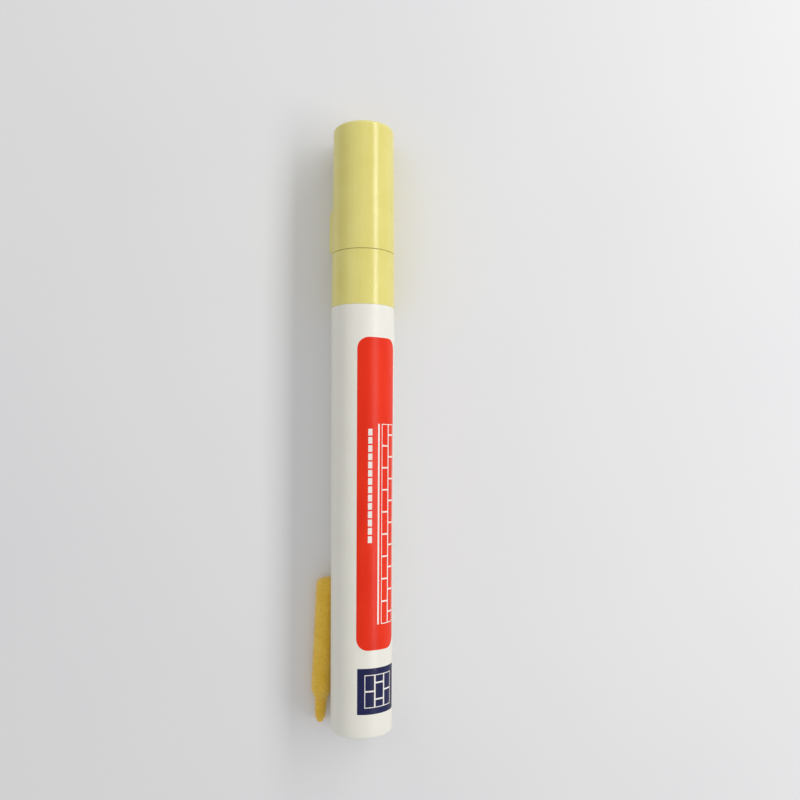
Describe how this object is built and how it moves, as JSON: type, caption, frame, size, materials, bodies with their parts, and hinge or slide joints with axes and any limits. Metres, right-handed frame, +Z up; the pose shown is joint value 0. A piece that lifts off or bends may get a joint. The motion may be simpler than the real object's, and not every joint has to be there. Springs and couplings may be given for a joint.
{
  "type": "grout marker",
  "caption": "Valve-action grout marker lying on its side: white barrel, pale yellow collar and push-on clip cap, sprung felt nib, mixing ball, and a loose spare nib.",
  "frame": {"origin": "centre of the barrel's flat base, on the marker's axis", "axes": "+Y runs along the marker from its base to the top of its cap, +Z is up as it lies, +X is to the right when it is seen from above with its cap ahead"},
  "size_m": [0.0196, 0.141, 0.0148],
  "materials": {
    "white_plastic": "satin moulded polypropylene",
    "yellow_plastic": "glossy moulded polypropylene",
    "liner_plastic": "soft moulded polyethylene",
    "valve_plastic": "natural moulded plastic",
    "nib_felt": "pressed fibre felt",
    "black_rubber": "matt moulded rubber",
    "bright_steel": "bright drawn or ground steel"
  },
  "bodies": {
    "marker_body": {"barrel": "white_plastic", "front_section": "yellow_plastic", "valve_seat": "valve_plastic", "valve_cage": "valve_plastic", "valve_spring": "bright_steel"},
    "cap": {"cap_shell": "yellow_plastic", "cap_liner": "liner_plastic"},
    "nib_and_valve": {"nib": "nib_felt", "valve_stem": "valve_plastic", "valve_gasket": "black_rubber"},
    "ball": {"mixing_ball": "bright_steel"},
    "loose_nib": {"spare_nib": "nib_felt"}
  },
  "joints": [
    {"name": "cap_pull", "type": "slide", "parent": "marker_body", "child": "cap", "axis": [0, 1, 0], "range_m": [0, 0.035]},
    {"name": "nib_press", "type": "slide", "parent": "marker_body", "child": "nib_and_valve", "axis": [0, -1, 0], "range_m": [0, 0.002], "stiffness_N_per_m": 500, "springref_m": -0.002, "deforming": ["valve_spring"]},
    {"name": "ball_roll", "type": "slide", "parent": "marker_body", "child": "ball", "axis": [0, 1, 0], "range_m": [0, 0.072]},
    {"name": "spare_nib_away", "type": "slide", "parent": "marker_body", "child": "loose_nib", "axis": [-1, 0, 0], "range_m": [0, 0.02]}
  ]
}
